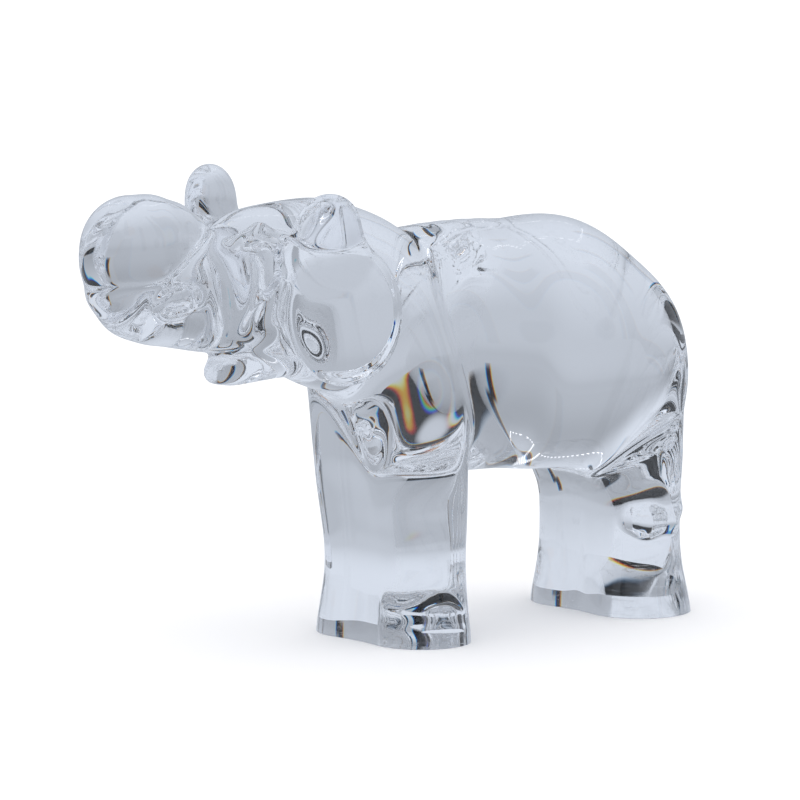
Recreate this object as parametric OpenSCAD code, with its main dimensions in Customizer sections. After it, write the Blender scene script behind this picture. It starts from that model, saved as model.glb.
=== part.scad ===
// Standing elephant with a raised, curled trunk, in solid clear crystal.
// It faces -Y, its left side is +X, and its four ground soles stand on Z = 0.
// It is hot-worked: each mass below is a gather of glass that is fused to its neighbours.

/* [Body] */
// Length of the barrel between its front and rear rounds
barrel_length = 46; // [42:1:50]
// Half width of the barrel
barrel_half_width = 29.5; // [27:0.5:32]
// Height of the top of the back above the soles
back_height = 112; // [106:1:114]
// Height of the underside of the belly above the soles
belly_height = 43.5; // [40:0.5:47]

/* [Legs] */
// Distance from the front pair of legs to the rear pair
leg_spacing = 76; // [72:1:80]
// Distance between the left and right legs of a pair
leg_track = 24; // [22:0.5:26]
// Radius of a leg at its slimmest
shin_radius = 11.2; // [10.5:0.1:12]
// Radius of a foot where it is ground flat
foot_radius = 12.4; // [11.5:0.1:13]
// Height of the arched notch behind the front feet
notch_height = 15; // [12:1:18]
// Half width of the notch at the ground
notch_half_width = 5; // [3.5:0.5:6]

/* [Head] */
// Radius of the head
head_radius = 22; // [21:0.5:23]
// Height of the middle of the head above the soles
head_height = 100; // [98:0.5:102]
// Half height of an ear
ear_half_height = 26.8; // [25:0.1:28]
// Half length of an ear, front to back
ear_half_length = 16.5; // [15:0.5:18]
// Half thickness of an ear
ear_half_thickness = 5.6; // [5:0.1:6.2]
// Angle that an ear is swept back by
ear_sweep = 20; // [14:1:26]
// Angle that the top of an ear leans out by
ear_lean = 7; // [3:1:10]
// Angle that the top of an ear leans forward by
ear_tilt = 11; // [6:1:14]

/* [Trunk] */
// Radius of the trunk where it leaves the face
trunk_root_radius = 16.2; // [15.5:0.1:17]
// Radius of the trunk at its slimmest, under the curl
trunk_waist_radius = 8.6; // [8:0.1:9.5]
// Radius of the fat curl
curl_radius = 14.4; // [13.5:0.1:15]
// Radius of the tip, which rests on the brow
trunk_tip_radius = 6; // [5:0.5:7]

/* [Tail] */
// Radius of the tail
tail_radius = 2.8; // [2.5:0.1:3.2]
// Radius of the tuft at its end
tuft_radius = 5; // [4.5:0.1:5.5]

/* [Hidden] */

facets = 30;
room = 400;

// Places along the animal are first given from the middle of its four feet
barrel_half_height = (back_height - belly_height) / 2;
barrel_middle = (back_height + belly_height) / 2;
barrel_front = -16;
barrel_rear = barrel_front + barrel_length;
leg_y = leg_spacing / 2;
leg_x = leg_track / 2;
web_step = 1.2;
rump_radius = 30;
// The head and neck are narrower than they are high
slim = [0.87, 1, 1];
rump_z = 71.5;

// Joins between the gathers
leg_join_z = belly_height - 1;
neck_join_y = -52;
neck_join_z = 95;
neck_join_lean = 12;
trunk_join_y = -101;
jaw_join_z = 83.4;
jaw_join_slope = 37;
ear_y = -80;
ear_z = head_height + 2;
ear_x = 24.5;
ear_join_x = 19.6;
ear_join_y = -60;
// The ears are set by hand, the right one a little higher
ear_step = 1.9;

// The curl stands furthest forward and the tail furthest back, and the origin is midway
curl_y = -132.5;
curl_z = 113.8;
tail_y = 56.6;
shift = -(tail_y + tail_radius + curl_y - curl_radius) / 2;

function side_point(side, p) = [side * p[0], p[1], p[2]];

// One rounded mass: place, radius and stretch along each axis
module mass(p, r, stretch = [1, 1, 1]) {
  translate([p[0], p[1] + shift, p[2]]) scale(stretch) sphere(r = r, $fn = facets);
}

// Glass drawn out through a row of [place, radius]
module drawn(row, stretch = [1, 1, 1]) {
  for (i = [0 : len(row) - 2])
    hull() {
      mass(row[i][0], row[i][1], stretch);
      mass(row[i + 1][0], row[i + 1][1], stretch);
    }
}

module barrel() {
  round = [barrel_half_width / barrel_half_height, 0.92, 1];
  hull() {
    mass([0, barrel_front, barrel_middle], barrel_half_height, round);
    mass([0, barrel_front + barrel_length / 2, barrel_middle], barrel_half_height, round);
    mass([0, barrel_rear - 1.5, rump_z], rump_radius, [0.95, 1, 1]);
  }
}

module withers() {
  hull() {
    mass([0, -40, 89.5], 21.4);
    mass([0, -26, 84.5], 26);
  }
}

// The top of the back carries a low ridge that was drawn along it
module ridge() {
  drawn([
    [[0, -46, 101], 10.5],
    [[0, -10, barrel_middle + 25.2], 9.9],
    [[0, 8, barrel_middle + 22.8], 10],
  ]);
}

module shoulders() {
  for (side = [-1, 1])
    drawn([
      [[side * 7.5, -49, 88], 15],
      [[side * 10, -44.5, 74], 14],
      [[side * 12, -42.5, 60], 13],
    ]);
  drawn([
    [[0, -49, 88], 14],
    [[0, -42.5, 60], 12],
  ]);
}

module neck() {
  hull() {
    mass([0, -42, 86], 17, slim);
    mass([0, -50, 92], 20.3, slim);
  }
  hull() {
    mass([0, -50, 92], 20.3, slim);
    mass([0, -58, 95], 22, slim);
  }
  hull() {
    mass([0, -58, 95], 22, slim);
    mass([0, -72, head_height], head_radius, slim);
  }
  hull() {
    mass([0, -50, 84], 18.5);
    mass([0, -68, 88.5], 16.5);
  }
}

module skull() {
  hull() {
    mass([0, -72, head_height], head_radius, slim);
    mass([0, -84, head_height], head_radius * 0.98, slim);
  }
  hull() {
    mass([0, -82, head_height], head_radius * 0.97, slim);
    mass([0, -92, head_height + 5.5], 16);
  }
  hull() {
    mass([0, -88, head_height], 17);
    mass([0, -104, head_height], trunk_root_radius);
  }
}

module jaw_mass() {
  drawn([
    [[0, -78, 90], 13.5],
    [[0, -90, 83.5], 8],
    [[0, -98.5, 80], 5],
    [[0, -103.5, 78.4], 3.6],
  ]);
}

module trunk_mass() {
  drawn([
    [[0, -104, head_height], trunk_root_radius],
    [[0, -111, 99.5], 14.4],
    [[0, -118, 98], 11.4],
    [[0, -125, 97], trunk_waist_radius + 0.6],
    [[0, -131, 98.5], trunk_waist_radius],
    [[0, -136.5, 104], 9],
    [[0, curl_y, curl_z], curl_radius],
    [[0, -121, 115.4], 11],
    [[0, -112, 115.6], trunk_tip_radius],
  ]);
}

// The frame of one ear: flat in its own YZ plane, turned to its sweep and lean
module in_ear_frame(side) {
  translate([side * ear_x, ear_y + shift, ear_z - side * ear_step])
    rotate([0, 0, -side * ear_sweep])
      rotate([0, side * ear_lean, 0])
        rotate([ear_tilt, 0, 0])
          children();
}

// One ear: a pressed pad that is broad below and narrows to a rounded lobe at the top
module ear_mass(side) {
  lobe = ear_half_length * 0.6;
  in_ear_frame(side)
    hull() {
      translate([0, 0, -ear_half_height * 0.22])
        scale([ear_half_thickness, ear_half_length, ear_half_height * 0.78])
          sphere(r = 1, $fn = facets);
      translate([0, -lobe * 0.25, ear_half_height * 1.06 - lobe])
        scale([ear_half_thickness * 0.9, lobe, lobe])
          sphere(r = 1, $fn = facets);
    }
}

// One leg, then the web that fuses the pair, from [place, radius] rows of the left leg
module leg_pair(row) {
  for (side = [-1, 1]) drawn([for (p = row) [side_point(side, p[0]), p[1]]]);
  drawn([for (p = row) [[0, p[0][1], p[0][2]], p[1] - web_step]]);
  for (i = [0 : len(row) - 2])
    hull()
      for (side = [-1, 1], p = [row[i], row[i + 1]])
        mass([side * p[0][0] / 2, p[0][1], p[0][2]], p[1] - web_step);
}

module front_legs() {
  leg_pair([
    [[12, -42.5, 60], 13],
    [[leg_x + 0.2, -leg_y - 3.5, 46], shin_radius + 1.2],
    [[leg_x, -leg_y - 2.2, 28], shin_radius + 0.2],
    [[leg_x, -leg_y - 2, 15], shin_radius],
    [[leg_x, -leg_y - 2.8, 2], foot_radius + 0.4],
  ]);
}

module rear_legs() {
  leg_pair([
    [[11, 30, 64], 19.5],
    [[12, 35, 46], 13.4],
    [[leg_x, leg_y + 0.5, 30], shin_radius],
    [[leg_x, leg_y, 14], shin_radius + 0.3],
    [[leg_x, leg_y + 0.8, 2], foot_radius + 0.6],
  ]);
}

// Arched notch cut into the back of the front pair, between its feet
module notch() {
  translate([0, -leg_y + shift + 5, 0])
    hull() {
      translate([0, 0, -1]) scale([1, 0.6, 1]) cylinder(r = notch_half_width, h = 1, $fn = facets);
      translate([0, 8, -1]) cylinder(r = notch_half_width, h = 1, $fn = facets);
      translate([0, 10, notch_height - 4]) sphere(r = 4, $fn = facets);
      translate([0, 2, notch_height - 5]) sphere(r = 3, $fn = facets);
    }
}

// The whole animal but its tail
module glass() {
  difference() {
    union() {
      barrel();
      withers();
      ridge();
      shoulders();
      neck();
      skull();
      jaw_mass();
      trunk_mass();
      front_legs();
      rear_legs();
      for (side = [-1, 1]) ear_mass(side);
    }
    notch();
  }
}

// Space above the ground, where the soles are ground flat
module above_ground() {
  translate([-room / 2, -room / 2, 0]) cube([room, room, room]);
}

// Space below the belly, in front of or behind its middle
module leg_space(end) {
  translate([-room / 2, (end < 0 ? -room : 0) + shift, leg_join_z - room]) cube([room, room, room]);
}

module one_side(side) {
  translate([side > 0 ? 0 : -room, -room / 2, -room / 2]) cube([room, room, room]);
}

module head_space() {
  translate([0, neck_join_y + shift, neck_join_z])
    rotate([-neck_join_lean, 0, 0])
      translate([-room / 2, -room, -room / 2]) cube([room, room, room]);
}

module trunk_space() {
  translate([-room / 2, trunk_join_y + shift - room, jaw_join_z]) cube([room, room, room]);
}

module jaw_space() {
  intersection() {
    translate([-room / 2, trunk_join_y + shift - room / 2, jaw_join_z - room]) cube([room, room, room]);
    translate([0, trunk_join_y + shift, jaw_join_z])
      rotate([-jaw_join_slope, 0, 0])
        translate([-room / 2, -room / 2, -room]) cube([room, room, room]);
  }
}

module ear_space(side) {
  translate([side > 0 ? ear_join_x : -ear_join_x - room, ear_join_y + shift - room, -room / 2])
    cube([room, room, room]);
}

module body() {
  color([0.86, 0.88, 0.93, 0.5])
    difference() {
      glass();
      head_space();
      for (end = [-1, 1]) leg_space(end);
    }
}

module head() {
  color([0.88, 0.90, 0.94, 0.5])
    difference() {
      intersection() {
        glass();
        head_space();
      }
      trunk_space();
      jaw_space();
      for (side = [-1, 1]) ear_space(side);
    }
}

module trunk() {
  color([0.90, 0.92, 0.95, 0.5])
    intersection() {
      glass();
      trunk_space();
    }
}

module lower_jaw() {
  color([0.84, 0.87, 0.92, 0.5])
    intersection() {
      glass();
      jaw_space();
      head_space();
    }
}

module ear(side) {
  color([0.87, 0.89, 0.94, 0.5])
    intersection() {
      glass();
      head_space();
      ear_space(side);
    }
}

module leg(end, side) {
  color([0.85, 0.87, 0.92, 0.5])
    intersection() {
      glass();
      above_ground();
      leg_space(end);
      one_side(side);
    }
}

module tail() {
  color([0.90, 0.92, 0.95, 0.5])
    difference() {
      drawn([
        [[0, 54, 84], tail_radius],
        [[0.5, tail_y, 74], tail_radius],
        [[2.5, 54.5, 60], tail_radius],
        [[7, 50.2, 47], tail_radius],
        [[13, 49.4, 36], tail_radius],
        [[19.5, 46, 29], tail_radius],
        [[22, 40, 26.5], 3.8],
        [[21.5, 33, 27], tuft_radius],
        [[21, 30, 27.5], 4],
      ]);
      glass();
    }
}

body();
head();
trunk();
lower_jaw();
ear(1);  // left_ear
ear(-1);  // right_ear
leg(-1, 1);  // front_left_leg
leg(-1, -1);  // front_right_leg
leg(1, 1);  // rear_left_leg
leg(1, -1);  // rear_right_leg
tail();
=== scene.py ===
import bmesh, bpy, math
import numpy as np
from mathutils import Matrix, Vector


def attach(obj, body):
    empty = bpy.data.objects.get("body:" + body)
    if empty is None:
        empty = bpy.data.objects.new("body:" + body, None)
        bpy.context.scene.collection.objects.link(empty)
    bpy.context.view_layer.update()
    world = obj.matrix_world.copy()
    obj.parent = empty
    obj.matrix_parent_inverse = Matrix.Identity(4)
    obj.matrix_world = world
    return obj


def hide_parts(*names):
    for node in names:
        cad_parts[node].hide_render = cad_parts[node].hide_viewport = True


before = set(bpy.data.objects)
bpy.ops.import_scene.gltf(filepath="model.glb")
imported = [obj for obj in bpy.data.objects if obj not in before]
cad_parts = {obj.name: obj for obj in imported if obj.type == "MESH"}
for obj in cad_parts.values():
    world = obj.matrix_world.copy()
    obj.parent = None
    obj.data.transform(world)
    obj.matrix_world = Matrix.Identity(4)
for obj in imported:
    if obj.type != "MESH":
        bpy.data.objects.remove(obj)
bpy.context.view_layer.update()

# ---------------------------------------------------------------- barrel and haunches
# The main gather of clear lead crystal: a solid, oval barrel with a raised back, and two
# haunches drawn down from it. Every later gather is fused on hot, so the animal has one
# flowing skin. The soft glass is held as a grid of distances to that skin, in millimetres:
# glass is added to it or pressed into it, and heat rounds it. Strands are written as
# [x, y, z, radius], with x to the animal's left, y to its tail and z up from the soles.
PITCH = 0.75     # the grid's spacing
REACH = 8.0      # how far from a strand the grid is worked
FRAME_Y = 43.75  # added to a strand's y, it gives the y of the frame
LOW = np.array([-38.0, -109.0, -9.0])
HIGH = np.array([38.0, 109.0, 136.0])
COUNT = np.ceil((HIGH - LOW) / PITCH).astype(int)
glass = np.full(COUNT, REACH, np.float32)


def grid_part(low, high):
    """The slices of the grid that cover a box, and the points in them."""
    first = np.clip(np.floor((low - LOW) / PITCH).astype(int), 0, COUNT - 1)
    last = np.clip(np.ceil((high - LOW) / PITCH).astype(int) + 1, 1, COUNT)
    axes = [LOW[i] + PITCH * np.arange(first[i], last[i], dtype=np.float32) for i in range(3)]
    points = np.stack(np.meshgrid(*axes, indexing="ij"), -1).astype(np.float32)
    return tuple(slice(a, b) for a, b in zip(first, last)), points


def merge(where, distance, soft, cut=False):
    """Fuses a shape into the glass, or presses it out of the glass, over a soft width."""
    old = -glass[where] if cut else glass[where]
    near = np.maximum(soft - np.abs(old - distance), 0) / soft
    new = np.minimum(old, distance) - near * near * soft / 4
    glass[where] = -new if cut else new


def spline(row, step=6.0):
    """Stations of a strand, with more between them on a smooth curve."""
    row = np.array(row, float)
    if len(row) < 3:
        return row.astype(np.float32)
    ends = np.vstack([2 * row[0] - row[1], row, 2 * row[-1] - row[-2]])
    out = [row[0]]
    for a, b, c, d in zip(ends[:-3], ends[1:-2], ends[2:-1], ends[3:]):
        n = max(1, round(np.linalg.norm((c - b)[:3]) / step))
        for i in range(1, n + 1):
            t = i / n
            out.append(b + 0.5 * t * (c - a + t * (2 * a - 5 * b + 4 * c - d + t * (3 * (b - c) + d - a))))
    return np.array(out, np.float32)


def draw(row, soft=2.0, stretch=(1, 1, 1), cut=False):
    """A strand of glass through [x, y, z, radius] stations: a row of cones between balls.
    Stretch widens or thins it along each axis. With cut, the strand is pressed out instead."""
    s = np.array(stretch, np.float32)
    stations = spline(row)
    stations[:, 1] += FRAME_Y
    for (ax, ay, az, ra), (bx, by, bz, rb) in zip(stations[:-1], stations[1:]):
        a, b = np.array([ax, ay, az]), np.array([bx, by, bz])
        r = max(ra, rb) * s.max() + REACH
        where, p = grid_part(np.minimum(a, b) - r, np.maximum(a, b) + r)
        line, out = (b - a) / s, (p - a) / s
        length = float(line @ line) + 1e-9
        taper = float(ra - rb)
        along = out @ line.astype(np.float32)
        past = along - length
        aside = ((out * length - along[..., None] * line.astype(np.float32)) ** 2).sum(-1)
        lean = math.copysign(taper * taper, taper) * aside
        flank = max(length - taper * taper, 1e-6)
        cone = (np.sqrt(aside * flank / length) + along * taper) / length - ra
        ball_a = np.sqrt(aside + along * along * length) / length - ra
        ball_b = np.sqrt(aside + past * past * length) / length - rb
        d = np.where(np.sign(past) * flank * past * past * length > lean, ball_b,
                     np.where(np.sign(along) * flank * along * along * length < lean, ball_a, cone))
        merge(where, (d * s.min()).astype(np.float32), soft, cut)


def fire(sigma):
    """Heat rounds every edge of the glass so far, over about sigma millimetres."""
    global glass
    n = int(math.ceil(3 * sigma / PITCH))
    weights = np.exp(-0.5 * (np.arange(-n, n + 1) * PITCH / sigma) ** 2)
    weights = (weights / weights.sum()).astype(np.float32)
    for axis in range(3):
        padded = np.pad(glass, [(n, n) if i == axis else (0, 0) for i in range(3)], "edge")
        rounded = np.zeros_like(glass)
        for i, weight in enumerate(weights):
            rounded += weight * np.take(padded, np.arange(i, i + glass.shape[axis]), axis)
        glass = rounded


draw([[0, -16, 77.75, 34.25], [0, 12, 77.75, 34.25]], 4, (0.861, 0.92, 1))
draw([[0, 12, 76.5, 32.5], [0, 28.5, 71.5, 30]], 8, (0.93, 0.98, 1))
draw([[0, -40, 89.5, 21.4], [0, -26, 84.5, 26]], 6, (0.95, 1, 1))
for side in (-1, 1):
    draw([[11 * side, 30, 64, 19.5], [12 * side, 35, 46, 13.4]], 6)
fire(3)
draw([[0, -46, 101, 10.5], [0, -30, 102.6, 10.4], [0, -10, 102.9, 9.9], [0, 8, 100.5, 10]], 1.2)

# ---------------------------------------------------------------- the hind pair of legs
# Two legs drawn from the haunches, pressed together hot until they fuse along the middle,
# and spread a little at the foot. WEB is how far the fused middle lies behind the legs.
WEB = 1.2
for side in (-1, 0, 1):
    thin = WEB * (side == 0)
    draw([[12 * side, 35.4, 50, 13.6 - thin], [12 * side, 38, 36, 10.8 - thin], [12 * side, 38.2, 24, 10.4 - thin],
          [12 * side, 38.4, 12, 10.9 - thin], [12 * side, 38.6, 2, 12.6 - thin],
          [12 * side, 38.8, -8, 14.4 - thin]], 4)
for side in (-1, 1):
    draw([[6 * side, 36, 48, 12.1], [6 * side, 38, 36, 10.4], [6 * side, 38, 24, 10], [6 * side, 38, 12, 10.4],
          [6 * side, 38.8, 2, 11.8], [6 * side, 39, -8, 12.6]], 3)


# ---------------------------------------------------------------- neck, skull and shoulders
# The second gather, fused to the front of the barrel with a sharp crease. It is drawn out
# forward and up to the neck and the domed skull. The gather so far is put aside first.
def gather():
    """Puts the glass worked so far aside, to start a new gather."""
    global glass
    aside, glass = glass, np.full(COUNT, REACH, np.float32)
    return aside


def fuse(aside, soft):
    """Fuses the gather in hand onto the glass that was put aside."""
    merge((slice(None),) * 3, aside, soft)


barrel = gather()
draw([[0, -42, 86, 17], [0, -50, 92, 20.3], [0, -58, 95, 22], [0, -72, 100, 22]], 5, (0.87, 1, 1))
draw([[0, -50, 84, 18.5], [0, -68, 88.5, 16.5]], 5)
draw([[0, -72, 100, 22], [0, -84, 100, 21.56]], 4, (0.87, 1, 1))
draw([[0, -82, 100, 21.3], [0, -92, 105.5, 16]], 4, (0.9, 1, 1))

# ---------------------------------------------------------------- the front pair of legs
# Drawn down from the shoulders like the hind pair and fused along the middle. A little spare
# glass is left where their backs meet the belly.
for side in (-1, 0, 1):
    thin = WEB * (side == 0)
    draw([[7.5 * side, -49, 88, 15 - thin], [10 * side, -44.5, 74, 14 - thin], [12 * side, -42.5, 60, 13 - thin],
          [12.2 * side, -42, 46, 12 - thin], [12 * side, -40.8, 30, 10.9 - thin],
          [12 * side, -40.5, 16, 10.6 - thin], [12 * side, -41, 4, 11.9 - thin],
          [12 * side, -41.4, -8, 13.4 - thin]], 4)
for side in (-1, 1):
    draw([[5 * side, -46, 76, 13], [6 * side, -42.5, 60, 12], [6 * side, -41.5, 46, 11], [6 * side, -40.3, 30, 10.2],
          [6 * side, -40, 16, 10], [6 * side, -40.6, 4, 11.2], [6 * side, -41, -8, 12.2]], 3)
draw([[-4, -37, 49, 7], [0, -34, 45.6, 5.6]], 3)
fire(2)
fuse(barrel, 1)

# ---------------------------------------------------------------- the raised trunk
# Drawn forward from the face, flattened, then folded back up on itself, so that it ends in
# a round pressed curl whose tip touches the brow.
draw([[0, -88, 100, 17], [0, -97, 100.5, 16], [0, -104, 100.2, 15.8]], 2.5)
draw([[0, -104, 100.2, 15.6], [0, -111, 99.7, 14], [0, -118, 98.8, 11.7], [0, -125, 98.4, 10.2],
      [0, -131, 99.4, 9.2], [0, -136.5, 103, 8.2]], 2.5, (1.18, 1, 1))
draw([[0, -137, 103.5, 8], [0, -134.5, 111, 12.6], [0, -132.5, 113.8, 14.2], [0, -127, 114.9, 13],
      [0, -120, 115.5, 10.2], [0, -112, 115.6, 6]], 1, (0.84, 0.955, 1))

# ---------------------------------------------------------------- the lower jaw
# A small lip of glass, pulled forward and down to a point with pincers while it was soft.
draw([[0, -78, 90, 13.5], [0, -90, 83.5, 8], [0, -98.5, 80, 5], [0, -103.5, 78.4, 3.4]], 2.5)


# ---------------------------------------------------------------- brow, eyes and cheeks
# Tooled into the hot head: a brow ridge laid on, a valley pressed between cheek and ear, an
# eye pit with a fold trailed round it, and a long dimple in the side of the trunk. The far
# side, x below 0, is worked more lightly: its valley is FAR_LIFT shallower.
def turned(z, y, x):
    """Rotation about x, then y, then z, in degrees, as a 3 by 3 matrix."""
    def about(axis, angle):
        c, s = math.cos(math.radians(angle)), math.sin(math.radians(angle))
        i, j = [(1, 2), (2, 0), (0, 1)][axis]
        m = np.eye(3)
        m[i, i], m[i, j], m[j, i], m[j, j] = c, -s, s, c
        return m
    return about(2, z) @ about(1, y) @ about(0, x)


def pad(centre, half, turn, soft=2.0, cut=False):
    """A pressed round pad at a place in the frame: an ellipsoid, turned by a 3 by 3 matrix."""
    middle = np.array(centre, np.float32)
    reach = max(half) + REACH
    where, p = grid_part(middle - reach, middle + reach)
    q = (p - middle) @ np.array(turn, np.float32)
    radii = np.array(half, np.float32)
    share = np.sqrt(((q / radii) ** 2).sum(-1))
    rise = np.sqrt(((q / radii ** 2) ** 2).sum(-1)) + 1e-6
    merge(where, (share * (share - 1) / rise).astype(np.float32), soft, cut)


FAR_LIFT = 2.6
FAR_FOLD = 0.55  # the far eye fold's thickness, as a share of the near one's
for side in (-1, 1):
    lift, fold = (0, 1) if side > 0 else (FAR_LIFT, FAR_FOLD)
    draw([[11 * side, -105, 114, 2.6], [13.6 * side, -99, 116.5, 3.2], [15 * side, -91.5, 114, 3]], 2)
    draw([[(20 + lift) * side, -96.5, 119, 4], [(19.3 + lift) * side, -96.5, 108, 5.6],
          [(19.6 + lift) * side, -98.5, 98, 5.6], [(18.5 + lift) * side, -103, 88, 4.5]], 2.5, cut=True)
    pad((16.5 * side, -100 + FRAME_Y, 110.5), (3.4, 2.6, 2.4), np.eye(3), 1.2, cut=True)
    draw([[12.5 * side, -105, 116, 1.2 * fold], [15.4 * side, -102, 116, 1.6 * fold],
          [17 * side, -96.5, 114, 1.8 * fold], [17.6 * side, -94.5, 107, 1.8 * fold],
          [16.4 * side, -98.5, 100.5, 1.6 * fold], [15 * side, -104, 97, 1.2 * fold]], 1)
    pad((13.4 * side, -128 + FRAME_Y, 100.5), (4.6, 11, 3.9), turned(side * 22, 0, 8), 0.8, cut=True)
fire(0.8)

# ---------------------------------------------------------------- the ears
# Two bits of hot glass pressed on to the sides of the head as round pads, each with a smaller
# lobe at its top and a thick root behind it, so that only its rim stands free.
for side in (-1, 1):
    turn = turned(-side * 20, side * 7, 11)
    centre = np.array([side * 24.5, -80 + FRAME_Y, 102 - side * 1.9])
    pad(centre + turn @ np.array([0, 0, -5.72]), (5.5, 16.5, 20.3), turn, 2)
    pad(centre + turn @ np.array([0, -2.5, 12]), (5.2, 11.5, 12.5), turn, 3)
    pad(centre + turn @ np.array([0, -0.6, 19.2]), (6.0, 8.8, 8.8), turn, 2)
    pad(centre + turn @ np.array([-4.5 * side, 0.3, -5.7]), (6.5, 14, 17.8), turn, 1.5)

# ---------------------------------------------------------------- the tail
# A thin string of hot glass trailed down the rump and round the left hind leg, where its end
# is pressed to a flat tuft. The body without it is kept, to find the line where they meet.
body_glass = gather()
draw([[0, 52, 86, 2.6], [0, 54.6, 80, 2.6], [0.5, 56, 72, 2.7], [1.5, 54.6, 65, 2.7],
      [3.5, 51.8, 55, 2.7], [7, 49, 47, 2.7], [13, 48, 36, 2.7], [19, 45, 29, 2.7],
      [21.4, 40, 26.5, 3.6], [21, 33, 27, 4.6], [20.4, 29.5, 27.5, 3.4]], 1.0)
tail_glass = glass.copy()
fuse(body_glass, 1)

# ---------------------------------------------------------------- the notch between the front feet
# Pressed up between the heels of the front pair with a round tool, to part the feet. A last
# light reheating, the fire polish, takes every tool mark away.
draw([[0, -28.4, -6, 2.9], [0, -28.6, 5, 2.6], [0, -27.4, 10.4, 2.2]], 0.8, cut=True)
fire(0.6)

# ---------------------------------------------------------------- the skin of the glass
# One closed skin is drawn where the distance is nought: a point in each cell of the grid that
# the skin crosses, and a face across each grid line that it crosses. The points then slide on
# the skin until they are evenly spread, which keeps reflections and refraction smooth.
CORNERS = [np.array([corner >> 2 & 1, corner >> 1 & 1, corner & 1]) for corner in range(8)]
EASE = 0.6  # how far a point slides towards the middle of its neighbours each time
gradient = np.stack(np.gradient(glass, PITCH), -1)


def sample(values, p):
    """Values of the grid at points, read smoothly between its cells."""
    g = (p - LOW) / PITCH
    i = np.clip(np.floor(g).astype(int), 0, COUNT - 2)
    part = (g - i)[..., None] if values.ndim == 4 else g - i
    total = 0
    for corner in CORNERS:
        weight = 1
        for axis in range(3):
            weight = weight * (part[:, axis] if corner[axis] else 1 - part[:, axis])
        at = i + corner
        total = total + weight * values[at[:, 0], at[:, 1], at[:, 2]]
    return total


def onto_skin(p, steps):
    """Points moved straight onto the skin."""
    for _ in range(steps):
        slope = sample(gradient, p)
        p = p - (sample(glass, p) / np.maximum((slope * slope).sum(1), 0.05))[:, None] * slope
    return p


inside = glass < 0
cell_count = np.array(inside.shape) - 1
filled = sum(inside[a:a + cell_count[0], b:b + cell_count[1], c:c + cell_count[2]].astype(np.int8)
             for a in (0, 1) for b in (0, 1) for c in (0, 1))
cells = np.argwhere((filled > 0) & (filled < 8))
number = np.full(cell_count, -1)
number[tuple(cells.T)] = np.arange(len(cells))
quads = []
for axis in range(3):
    order = (axis, (axis + 1) % 3, (axis + 2) % 3)
    a = np.moveaxis(inside, order, (0, 1, 2))
    n = np.moveaxis(number, order, (0, 1, 2))
    i, j, k = np.nonzero(a[:-1, 1:-1, 1:-1] != a[1:, 1:-1, 1:-1])
    quad = np.stack([n[i, j, k], n[i, j + 1, k], n[i, j + 1, k + 1], n[i, j, k + 1]], 1)
    inward = ~a[i, j + 1, k + 1]
    quad[inward] = quad[inward][:, ::-1]
    quads.append(quad)
quads = np.concatenate(quads)
points = onto_skin(LOW + PITCH * (cells + 0.5), 5)
edges = np.concatenate([quads[:, [a, (a + 1) % 4]] for a in range(4)])
near = np.bincount(edges[:, 0], minlength=len(points))
for _ in range(4):
    total = np.zeros_like(points)
    for axis in range(3):
        total[:, axis] = np.bincount(edges[:, 0], points[edges[:, 1], axis], len(points))
    points = onto_skin(points + EASE * (total / near[:, None] - points), 2)
mesh = bpy.data.meshes.new("skin")
mesh.from_pydata((points * 0.001).tolist(), [], quads.tolist())
skin = bmesh.new()
skin.from_mesh(mesh)

# ---------------------------------------------------------------- clear, ground and fused crystal
# The animal is one glass in three states: fire-polished skin, soles ground flat on a wheel and
# left finely frosted, and the fused joins inside, which can't be seen because the glass on
# both sides is the same. Heavy lead crystal has an index of refraction of about 1.55.
CRYSTAL_INDEX = 1.55
CRYSTAL_TINT = (0.98, 0.985, 1, 1)
CRYSTAL_SHADOW = (0.9, 0.92, 0.95, 1)
POLISHED, SMOOTH_RIPPLE = 0.01, 0.2
FROSTED, GRINDING_MARKS = 0.3, 0.3


class Shade:
    """A socket of a shader tree, so that shader maths reads as maths."""

    def __init__(self, tree, socket=None):
        self.tree, self.socket = tree, socket

    def node(self, kind, settings=None, inputs=None, output=0):
        made = self.tree.nodes.new("ShaderNode" + kind)
        for name, value in (settings or {}).items():
            setattr(made, name, value)
        for name, value in (inputs or {}).items():
            if isinstance(value, Shade):
                self.tree.links.new(value.socket, made.inputs[name])
            else:
                made.inputs[name].default_value = value
        return Shade(self.tree, made.outputs[output])

    def maths(self, operation, *values, clamp=False):
        return self.node("Math", {"operation": operation, "use_clamp": clamp}, dict(enumerate(values)))

    def __add__(self, other): return self.maths("ADD", self, other)
    def __radd__(self, other): return self.maths("ADD", other, self)
    def __sub__(self, other): return self.maths("SUBTRACT", self, other)
    def __rsub__(self, other): return self.maths("SUBTRACT", other, self)
    def __mul__(self, other): return self.maths("MULTIPLY", self, other)
    def __rmul__(self, other): return self.maths("MULTIPLY", other, self)
    def __truediv__(self, other): return self.maths("DIVIDE", self, other)
    def __rtruediv__(self, other): return self.maths("DIVIDE", other, self)

    def distance(self):
        """How far the value is from nought."""
        return self.maths("ABSOLUTE", self)

    def steps(self, low, high):
        return self.node("MapRange", {"interpolation_type": "SMOOTHSTEP"}, {0: self, 1: low, 2: high})

    def beside(self, name):
        """Another output of the same node."""
        return Shade(self.tree, self.socket.node.outputs[name])

    def mix(self, a, b):
        return self.node("Mix", {"data_type": "RGBA"}, {0: self, 6: a, 7: b}, 2)


def painted(name, surface):
    """A material whose surface is the shader that surface(tree) gives."""
    made = bpy.data.materials.new(name)
    made.use_nodes = True
    made.node_tree.nodes.clear()
    shader = surface(Shade(made.node_tree))
    end = made.node_tree.nodes.new("ShaderNodeOutputMaterial")
    made.node_tree.links.new(shader.socket, end.inputs[0])
    return made


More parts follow.
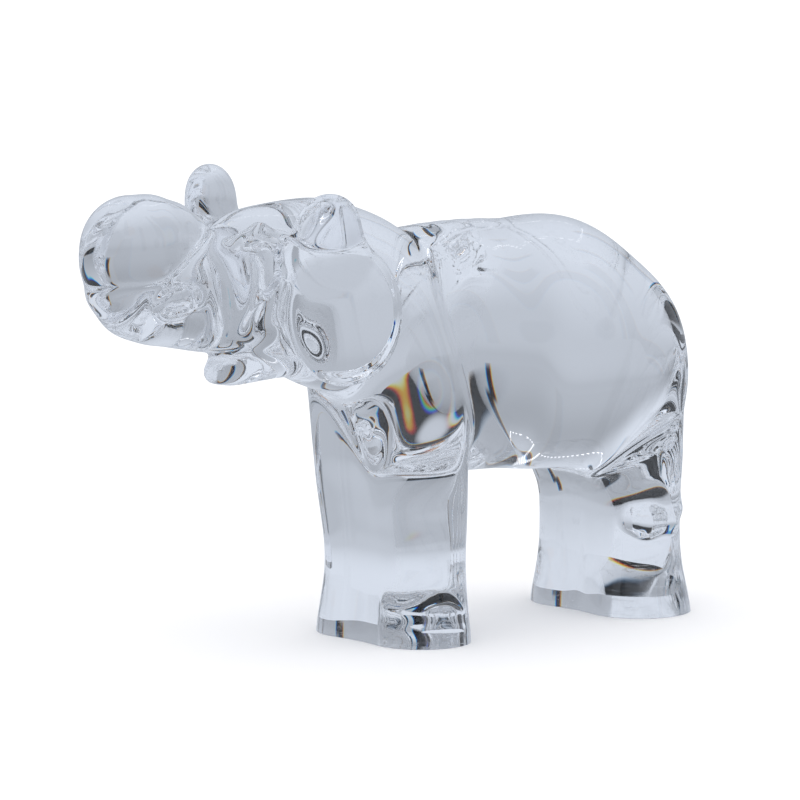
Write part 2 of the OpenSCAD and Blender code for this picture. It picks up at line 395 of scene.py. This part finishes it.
def crystal(rough, ripple):
    """Clear crystal. Rough is how far the polish falls short, ripple how wavy the skin is."""
    def surface(t):
        place = t.node("TexCoord", output="Object")
        waves = t.node("TexNoise", inputs={"Vector": place, "Scale": 85.0, "Detail": 1.5})
        wipes = t.node("TexNoise", inputs={"Vector": place, "Scale": 420.0, "Detail": 3.0})
        normal = t.node("Bump", inputs={"Strength": ripple, "Distance": 0.00012, "Height": waves})
        clear = t.node("BsdfPrincipled", inputs={
            "Base Color": CRYSTAL_TINT, "Roughness": wipes.steps(0.45, 0.75) * rough,
            "IOR": CRYSTAL_INDEX, "Transmission Weight": 1.0, "Normal": normal})
        shadow = t.node("BsdfTransparent", inputs={0: CRYSTAL_SHADOW})
        return t.node("MixShader", inputs={0: t.node("LightPath", output="Is Shadow Ray"), 1: clear, 2: shadow})
    return surface


SKIN_SLOT, JOIN_SLOT, SOLE_SLOT = 0, 1, 2
STATES = [painted("clear_crystal", crystal(POLISHED, SMOOTH_RIPPLE)),
          painted("fused_join", lambda t: t.node("BsdfTransparent")),
          painted("ground_crystal", crystal(FROSTED, GRINDING_MARKS))]


# ---------------------------------------------------------------- the ground soles
# The feet were cut off level and ground flat on a wheel, so that the animal stands without
# rocking. The cut is made through the whole skin at the height of the table.
def halves(bm, place, normal):
    """The part of a closed mesh behind a plane and the part in front of it, each closed."""
    made = []
    for keep in (-1, 1):
        part = bm.copy()
        bmesh.ops.bisect_plane(part, geom=part.verts[:] + part.edges[:] + part.faces[:], dist=1e-7,
                               plane_co=place, plane_no=normal, clear_outer=keep < 0, clear_inner=keep > 0)
        close(part)
        made.append(part)
    return made


def close(part):
    """Closes a mesh's open rims with flat faces of fused join."""
    rim = [e for e in part.edges if e.is_boundary]
    if rim:
        for f in bmesh.ops.holes_fill(part, edges=rim, sides=0)["faces"]:
            f.material_index = JOIN_SLOT


def mm(x, y, z):
    """A place of the strands' scale in the frame, in metres."""
    return Vector((x, y + FRAME_Y, z)) * 0.001


animal = halves(skin, (0, 0, 0), (0, 0, 1))[1]
for f in animal.faces:
    if f.material_index:
        f.material_index = SOLE_SLOT

# ---------------------------------------------------------------- where the tail is fused on
# The tail keeps the skin that lies on its own string and stands clear of the body. The line
# between them wanders, so it is closed with a web of small faces on both sides.
TAIL_REACH = 0.9  # how near its string the tail's skin lies, in mm
BODY_CLEAR = 0.3  # how far from the body's own skin it stands, in mm
animal.faces.index_update()
animal.faces.ensure_lookup_table()
middles = np.array([f.calc_center_median() for f in animal.faces]) * 1000
on_tail = (sample(tail_glass, middles) < TAIL_REACH) & (sample(body_glass, middles) > BODY_CLEAR)
loose, tail_skin = set(np.nonzero(on_tail)[0].tolist()), set()
while loose:
    patch, growing = set(), [loose.pop()]
    while growing:
        i = growing.pop()
        patch.add(i)
        for e in animal.faces[i].edges:
            for f in e.link_faces:
                if f.index in loose:
                    loose.remove(f.index)
                    growing.append(f.index)
    tail_skin = max(tail_skin, patch, key=len)
tail = animal.copy()
tail.faces.ensure_lookup_table()
bmesh.ops.delete(tail, geom=[f for f in tail.faces if f.index not in tail_skin], context="FACES")
bmesh.ops.delete(animal, geom=[f for f in animal.faces if f.index in tail_skin], context="FACES")
for part in (tail, animal):
    bmesh.ops.subdivide_edges(part, cuts=1, edges=[
        e for e in part.edges if not e.is_boundary and e.verts[0].is_boundary and e.verts[1].is_boundary])
    rim = [e for e in part.edges if e.is_boundary]
    web = bmesh.ops.triangle_fill(part, use_beauty=True, edges=rim, normal=(0.7, 0.7, 0))
    for f in web["geom"]:
        if isinstance(f, bmesh.types.BMFace):
            f.material_index = JOIN_SLOT
    bmesh.ops.recalc_face_normals(part, faces=part.faces[:])

# ---------------------------------------------------------------- the body
# The main gather on its own: what is left above the legs and behind the neck's leaning join.
LEG_JOIN_Z = 42.5
NECK_JOIN, NECK_LEAN = (0, -52, 95), math.radians(12)
legs, top = halves(animal, mm(0, 0, LEG_JOIN_Z), (0, 0, 1))
head_and_neck, body = halves(top, mm(*NECK_JOIN), (0, math.cos(NECK_LEAN), -math.sin(NECK_LEAN)))


def show(node, part):
    """Makes a piece of crystal an object in place of its node. Its skin is shaded with the
    slope of the glass itself, and its soles and joins as flat faces."""
    made = bpy.data.meshes.new(node)
    part.to_mesh(made)
    for state in STATES:
        made.materials.append(state)
    made.polygons.foreach_set("use_smooth", [True] * len(made.polygons))
    places = np.empty(len(made.vertices) * 3)
    made.vertices.foreach_get("co", places)
    slope = sample(gradient, places.reshape(-1, 3) * 1000)
    slope /= np.linalg.norm(slope, axis=1)[:, None] + 1e-9
    vertex_of = np.empty(len(made.loops), int)
    made.loops.foreach_get("vertex_index", vertex_of)
    flat = np.empty(len(made.polygons) * 3)
    made.polygons.foreach_get("normal", flat)
    sides = np.empty(len(made.polygons), int)
    made.polygons.foreach_get("loop_total", sides)
    state_of = np.empty(len(made.polygons), int)
    made.polygons.foreach_get("material_index", state_of)
    face_of = np.repeat(np.arange(len(sides)), sides)
    is_flat = state_of[face_of] != SKIN_SLOT
    normals = slope[vertex_of]
    normals[is_flat] = flat.reshape(-1, 3)[face_of][is_flat]
    made.normals_split_custom_set(normals.tolist())
    piece = bpy.data.objects.new("crystal_" + node, made)
    bpy.context.scene.collection.objects.link(piece)
    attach(piece, "root")
    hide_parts(node)


show("body", body)

# ---------------------------------------------------------------- the four legs
# Each pair is one fused block. It is divided down the animal's middle, and the pairs are
# divided under the belly, so that each leg ends in half of a ground sole.
for pair_name, pair in zip(("front", "rear"), halves(legs, mm(0, 0, 0), (0, 1, 0))):
    for hand, leg in zip(("right", "left"), halves(pair, (0, 0, 0), (1, 0, 0))):
        show(pair_name + "_" + hand + "_leg", leg)

# ---------------------------------------------------------------- the two pressed ears
# Cut away at their roots: everything outside the neck's width and ahead of the shoulders.
EAR_JOIN_X, EAR_JOIN_Y = 19.6, -60
MOUTH_Z = 83.4
face, nape = halves(head_and_neck, mm(0, EAR_JOIN_Y, 0), (0, 1, 0))
for place, normal in ((mm(0, 0, MOUTH_Z), (0, 0, 1)), (mm(-EAR_JOIN_X, 0, 0), (1, 0, 0)),
                      (mm(EAR_JOIN_X, 0, 0), (1, 0, 0))):
    bmesh.ops.bisect_plane(nape, geom=nape.verts[:] + nape.edges[:] + nape.faces[:], dist=1e-7,
                           plane_co=place, plane_no=normal)
right_ear, face = halves(face, mm(-EAR_JOIN_X, 0, 0), (1, 0, 0))
face, left_ear = halves(face, mm(EAR_JOIN_X, 0, 0), (1, 0, 0))
show("right_ear", right_ear)
show("left_ear", left_ear)

# ---------------------------------------------------------------- the drawn trunk
# Fused to the face along an upright join, above the line of the mouth.
TRUNK_JOIN_Y = -101
below_mouth, above_mouth = halves(face, mm(0, 0, MOUTH_Z), (0, 0, 1))
trunk, above_mouth = halves(above_mouth, mm(0, TRUNK_JOIN_Y, MOUTH_Z), (0, 1, 0))
show("trunk", trunk)

# ---------------------------------------------------------------- the pointed lip
# The lower jaw's join slopes down and back from the corner of the mouth.
JAW_SLOPE = math.radians(37)
lower_jaw, below_mouth = halves(below_mouth, mm(0, TRUNK_JOIN_Y, MOUTH_Z),
                                (0, math.sin(JAW_SLOPE), math.cos(JAW_SLOPE)))
show("lower_jaw", lower_jaw)

# ---------------------------------------------------------------- the trailed tail
# The string of glass and its tuft, as parted above.
show("tail", tail)


# ---------------------------------------------------------------- the head
# Skull, cheeks and neck: what is left when the ears, trunk and lip are away, made one again.
def rejoin(a, b, place, normal):
    """Two parts that were cut apart, made one again."""
    whole = bmesh.new()
    for part in (a, b):
        held = bpy.data.meshes.new("held")
        part.to_mesh(held)
        whole.from_mesh(held)
        bpy.data.meshes.remove(held)
    across = Vector(normal).normalized()

    def on_cut(v):
        return abs((v.co - Vector(place)).dot(across)) < 1e-6

    inner = [f for f in whole.faces if f.material_index == JOIN_SLOT and all(on_cut(v) for v in f.verts)]
    bmesh.ops.delete(whole, geom=inner, context="FACES_ONLY")
    bmesh.ops.remove_doubles(whole, verts=[v for v in whole.verts if on_cut(v)], dist=2e-6)
    bmesh.ops.delete(whole, geom=[e for e in whole.edges if not e.link_faces], context="EDGES")
    close(whole)
    return whole


skull = rejoin(below_mouth, above_mouth, mm(0, 0, MOUTH_Z), (0, 0, 1))
show("head", rejoin(skull, nape, mm(0, EAR_JOIN_Y, 0), (0, 1, 0)))

# ---------------------------------------------------------------- the light tent
# Only what shows the crystal off. A pale tent is lit from above, with black strips and a warm
# lamp in it to draw dark and amber lines in the glass, and a ring of small lamps for sparkle.
# Real crystal splits colours, so each black edge lies in a slightly different place for red,
# green and blue. The eye sees plain white behind the animal.
TENT_LOW, TENT_HORIZON, TENT_TOP = 0.47, 0.38, 0.74
STRIP_DEPTH = 0.975       # how much of the tent's light a black strip takes away
ROUND_SPLIT, STRIP_SPLIT = 0.2, 0.45  # degrees between two primaries at a black edge
LAMP_GLOW = (20, 20, 20.6, 1)
LAMP_SPACING, LAMP_RING, LAMP_OFFSET = 0.07, (0.6, 0.5), 1.15
TENT_LIGHT = (1.25, 1.25, 1.26, 1)
BACKDROP = (1, 1, 1, 1)
scene = bpy.context.scene
scene.view_settings.view_transform = "Standard"
scene.cycles.max_bounces = 64
scene.cycles.transmission_bounces = 64
scene.cycles.glossy_bounces = 64
scene.cycles.transparent_max_bounces = 64
world = bpy.data.worlds.new("light_tent")
scene.world = world
world.use_nodes = True
world.node_tree.nodes.clear()
world.cycles.sampling_method = "NONE"
tent = Shade(world.node_tree)
ray = tent.node("LightPath", output="Is Camera Ray")
facing = tent.node("TexCoord", output="Generated")
dx = tent.node("SeparateXYZ", inputs={0: facing})
dy, dz = dx.beside("Y"), dx.beside("Z")


def tone(light):
    """The pale grey-lavender of the light tent at one brightness."""
    return (0.93 * light, light, 1.115 * light, 1)


def towards(az, el):
    """How nearly a direction faces one in degrees: az from the nose round to the left, el up."""
    a, e = math.radians(az), math.radians(el)
    return dx * (math.sin(a) * math.cos(e)) + dy * (-math.cos(a) * math.cos(e)) + dz * math.sin(e)


def soft_rim(wide, soft):
    """The two ends of the soft edge of a round patch, in degrees, as cosines."""
    return math.cos(math.radians(wide + soft)), math.cos(math.radians(wide))


def height(el):
    """The z of a direction that looks up by an angle in degrees."""
    return math.sin(math.radians(el))


def darkened(light, masks):
    """The tent darkened where the mask of each primary is one."""
    share = tent.node("CombineXYZ", inputs=dict(enumerate(1 - m * STRIP_DEPTH for m in masks)))
    return tent.node("VectorMath", {"operation": "MULTIPLY"}, {0: light, 1: share})


sky = dz.steps(0.0, 0.3).mix(tone(TENT_LOW), tone(TENT_HORIZON))
sky = dz.steps(0.35, 0.8).mix(sky, tone(TENT_TOP))
for az, el, wide, soft, colour in ((-80, 34, 20, 16, tone(0.80)),
                                   (72, 38, 7, 4, (0.42, 0.2, 0.05, 1))):
    sky = towards(az, el).steps(*soft_rim(wide, soft)).mix(sky, colour)
for az, el, wide, soft in ((32, 20, 14, 12), (-24, 28, 9, 3), (128, 8, 5, 3), (-112, 46, 4, 2)):
    sky = darkened(sky, [towards(az + split, el).steps(*soft_rim(wide, soft))
                         for split in (-ROUND_SPLIT, 0, ROUND_SPLIT)])
compass = dx.maths("ARCTAN2", dx, 0 - dy) * (180 / math.pi)
for az, wide, low, high in ((152, 4.5, -4, 44), (137, 3, 12, 50), (143, 1.5, -30, 30), (-157, 1.5, 8, 40),
                            (-100, 2, 20, 60), (98, 4, -10, 40), (-48, 4, 0, 40), (172, 1.5, 15, 50),
                            (-154, 1.2, -2, 12), (-62, 3, 5, 45), (10, 5, 5, 50), (60, 6, 28, 62)):
    ends = dz.steps(height(low), height(low + 4)) * dz.steps(height(high + 4), height(high))
    sky = darkened(sky, [(compass - (az + split)).distance().steps(wide + 1, wide) * ends
                         for split in (-STRIP_SPLIT, 0, STRIP_SPLIT)])
lamp_u = (dx * 0.643 + dy * 0.766) / dz
lamp_v = (dy * 0.643 - dx * 0.766) / dz - LAMP_OFFSET
du, dv = [(v / LAMP_SPACING).maths("FRACT", v / LAMP_SPACING) - 0.5 for v in (lamp_u, lamp_v)]
dot = (du * du + dv * dv).steps(0.1, 0.06)
ring = tent.maths("MAXIMUM", lamp_u.distance() - LAMP_RING[0], lamp_v.distance() - LAMP_RING[1])
band = ring.distance().steps(0.036, 0.034) * dz.steps(0.2, 0.25)
mirrored = tent.maths("LESS_THAN", ray.beside("Ray Depth"), 1.5)
lit = (dot * band * (mirrored * 0.92 + 0.08)).mix(sky, LAMP_GLOW)
lit = ray.beside("Is Diffuse Ray").mix(lit, TENT_LIGHT)
background = tent.node("Background", inputs={0: ray.mix(lit, BACKDROP)})
world.node_tree.links.new(background.socket, world.node_tree.nodes.new("ShaderNodeOutputWorld").inputs[0])

# ---------------------------------------------------------------- the table
# A plain pale floor, just under the soles. It takes the animal's soft shadow. Seen through the
# crystal, it stands for the paper floor of the tent. There it is a painted glow that shines by itself, painted
# bright near the feet and greyer further off.
FLOOR_HALF, FLOOR_DROP = 9, -1e-4
floor_mesh = bpy.data.meshes.new("floor")
floor_corners = [(x * FLOOR_HALF, y * FLOOR_HALF, FLOOR_DROP) for x, y in ((-1, -1), (1, -1), (1, 1), (-1, 1))]
floor_mesh.from_pydata(floor_corners, [], [(0, 1, 2, 3)])
floor = bpy.data.objects.new("floor", floor_mesh)
scene.collection.objects.link(floor)


def paper_with_painted_glow(t):
    """Matt white to the eye and to soft light. In the crystal it is a painted glow, bright near the feet and fading
    to grey outwards.
    """
    ray = t.node("LightPath", output="Is Camera Ray")
    place = t.node("TexCoord", output="Object")
    away = t.node("VectorMath", {"operation": "LENGTH"}, {0: place}, "Value")
    # painted glow: in the crystal the floor is an emission, painted brighter near the feet and greyer further off,
    # not lit
    grey = away.steps(0.04, 0.30).mix(tone(0.76), tone(0.56))
    grey = away.steps(0.3, 1.2).mix(grey, tone(0.48))
    matt = t.node("BsdfDiffuse", inputs={0: (0.93, 0.93, 0.94, 1)})
    glow = t.node("Emission", inputs={0: grey})
    plain = t.maths("MAXIMUM", ray, ray.beside("Is Diffuse Ray"))
    return t.node("MixShader", inputs={0: plain, 1: glow, 2: matt})


floor_mesh.materials.append(painted("floor", paper_with_painted_glow))

# ---------------------------------------------------------------- the camera
# Two metres off, level with the belly and a little above, ahead of the animal's left shoulder.
VIEW_AZ, VIEW_EL, VIEW_FAR = math.radians(50), math.radians(8), 2.0
VIEW_WIDTH = 0.8 / 3.659  # how much the picture spans at the animal, in metres
AIM = Vector((0, 0, 0.06495))
lens = bpy.data.cameras.new("camera")
camera = bpy.data.objects.new("camera", lens)
scene.collection.objects.link(camera)
away = Vector((math.sin(VIEW_AZ) * math.cos(VIEW_EL), -math.cos(VIEW_AZ) * math.cos(VIEW_EL), math.sin(VIEW_EL)))
camera.location = AIM + away * VIEW_FAR
camera.rotation_euler = away.to_track_quat("Z", "Y").to_euler()
lens.sensor_width = 36
lens.lens = lens.sensor_width * VIEW_FAR / VIEW_WIDTH
lens.shift_x, lens.shift_y = 0.0175, 0.00275
scene.camera = camera
